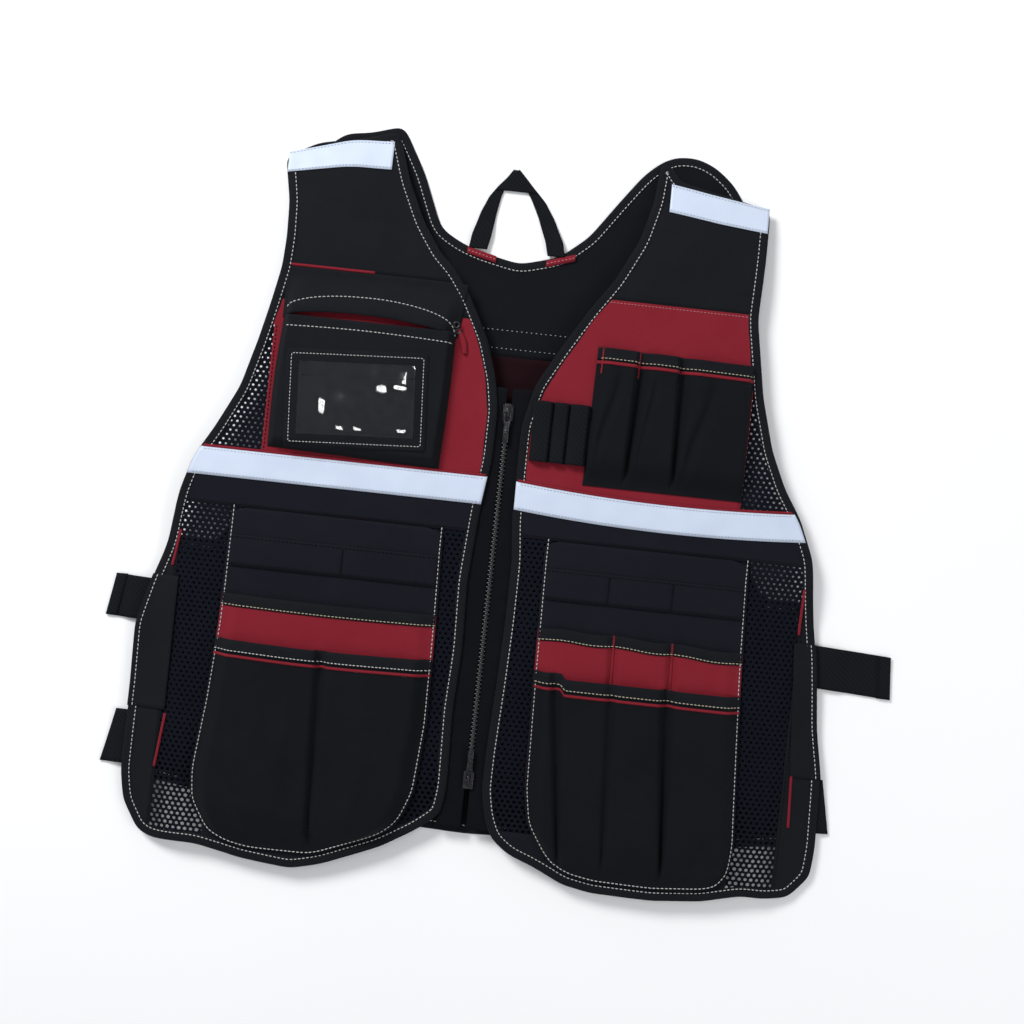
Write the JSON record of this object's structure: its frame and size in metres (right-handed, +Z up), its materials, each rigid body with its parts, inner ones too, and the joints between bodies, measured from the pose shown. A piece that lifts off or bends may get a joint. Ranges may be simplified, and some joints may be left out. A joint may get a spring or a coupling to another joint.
{
  "type": "utility work vest",
  "caption": "Sleeveless cloth work vest lying flat, with net panels, stacked tool pockets, reflective bands, side straps and a two-way zip.",
  "frame": {"origin": "under the middle of the bounding box, on the surface that the vest lies on", "axes": "+X across the vest towards its tool pocket side, +Y from the hem to the shoulders, +Z up from the surface"},
  "size_m": [0.692, 0.6558, 0.0322],
  "materials": {
    "black_cloth": "matt woven polyester",
    "navy_cloth": "matt woven polyester",
    "red_cloth": "matt woven polyester with a slight sheen",
    "net": "knitted open net",
    "reflective": "retroreflective tape, satin",
    "webbing": "woven webbing",
    "binding": "folded binding tape",
    "clear_film": "clear flexible film, gloss",
    "zip_chain": "moulded teeth",
    "zip_metal": "dark painted metal, satin"
  },
  "bodies": {
    "vest": {"shoulder_panel_left": "black_cloth", "chest_panel_left": "red_cloth", "armhole_mesh_left": "net", "yoke_panel_left": "navy_cloth", "pocket_backing_left": "navy_cloth", "side_mesh_left": "net", "centre_mesh_left": "net", "side_strip_left": "black_cloth", "edge_binding_left": "binding", "shoulder_tape_left": "reflective", "chest_tape_left": "reflective", "yoke_band_left": "webbing", "side_patch_left": "black_cloth", "back_pocket_left": "red_cloth", "front_pocket_left": "black_cloth", "upper_strap_left": "webbing", "lower_strap_left": "webbing", "zip_tape_left": "webbing", "shoulder_panel_right": "black_cloth", "chest_panel_right": "red_cloth", "armhole_mesh_right": "net", "yoke_panel_right": "navy_cloth", "pocket_backing_right": "navy_cloth", "side_mesh_right": "net", "centre_mesh_right": "net", "side_strip_right": "black_cloth", "edge_binding_right": "binding", "shoulder_tape_right": "reflective", "chest_tape_right": "reflective", "yoke_band_right": "webbing", "side_patch_right": "black_cloth", "back_pocket_right": "red_cloth", "front_pocket_right": "black_cloth", "upper_strap_right": "webbing", "lower_strap_right": "webbing", "zip_tape_right": "webbing", "chest_pocket": "black_cloth", "chest_pocket_flap": "black_cloth", "id_frame": "binding", "id_window": "clear_film", "pocket_pull": "red_cloth", "tool_pocket": "black_cloth", "pen_loops": "webbing", "zip_teeth": "zip_chain", "zip_slider_top": "zip_metal", "zip_slider_bottom": "zip_metal", "back_yoke": "black_cloth", "back_chest": "red_cloth", "back_lower": "black_cloth", "back_binding": "binding", "back_tape": "reflective", "hanging_loop": "webbing"},
    "pull_top": {"zip_pull_top": "zip_metal"},
    "pull_bottom": {"zip_pull_bottom": "zip_metal"}
  },
  "joints": [
    {"name": "top_pull_hinge", "type": "hinge", "parent": "vest", "child": "pull_top", "pos_m": [-0.014, 0.08697, 0.01655], "axis": [-1, 0, 0], "range_deg": [0, 170]},
    {"name": "bottom_pull_hinge", "type": "hinge", "parent": "vest", "child": "pull_bottom", "pos_m": [-0.014, -0.23503, 0.01655], "axis": [1, 0, 0], "range_deg": [0, 170]}
  ]
}
